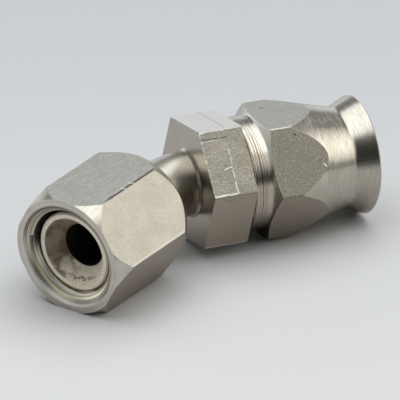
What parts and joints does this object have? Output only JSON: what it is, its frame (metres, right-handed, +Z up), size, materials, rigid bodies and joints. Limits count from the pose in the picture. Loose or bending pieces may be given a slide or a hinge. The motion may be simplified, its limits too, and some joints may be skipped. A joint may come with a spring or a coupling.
{
  "type": "hose fitting",
  "caption": "Angled reusable hose end with a swivel nut over a conical seat, a bent tube, a hex adapter and a screwed socket that grips the hose.",
  "frame": {"origin": "middle of the part's bounding box, on the surface that it lies on", "axes": "+Z up as it lies; the socket's axis runs along +X, sloping down by about two degrees to the bell; the nut points towards -X and -Y"},
  "size_m": [0.056, 0.0304, 0.0192],
  "materials": {
    "tube": "polished bent tube",
    "seat": "turned, dull, a little stained",
    "nut": "satin plated, fine matt flats",
    "adapter": "satin plated, rough milled flats",
    "olive": "turned brass",
    "socket": "satin plated, turned barrel, polished bell"
  },
  "bodies": {
    "elbow": {"elbow_tube": "tube", "seat_nose": "seat", "hex_adapter": "adapter"},
    "nut": {"swivel_nut": "nut"},
    "olive": {"olive": "olive"},
    "socket": {"socket": "socket"}
  },
  "joints": [
    {"name": "nut_swivel", "type": "hinge", "parent": "elbow", "child": "nut", "pos_m": [-0.02352, -0.00747, 0.00872], "axis": [-0.8669, -0.4966, -0.0434], "continuous": true},
    {"name": "olive_slide", "type": "slide", "parent": "elbow", "child": "olive", "axis": [0.9992, 0.003, -0.0389], "range_m": [-0.0002, 0.0053]},
    {"name": "socket_turn", "type": "hinge", "parent": "olive", "child": "socket", "pos_m": [0.00771, 0.00512, 0.00946], "axis": [0.9992, 0.003, -0.0389], "range_deg": [-60, 1800]}
  ],
  "couplings": [
    {"joint": "olive_slide", "follows": "socket_turn", "m_per_rad": 0.00016844}
  ]
}
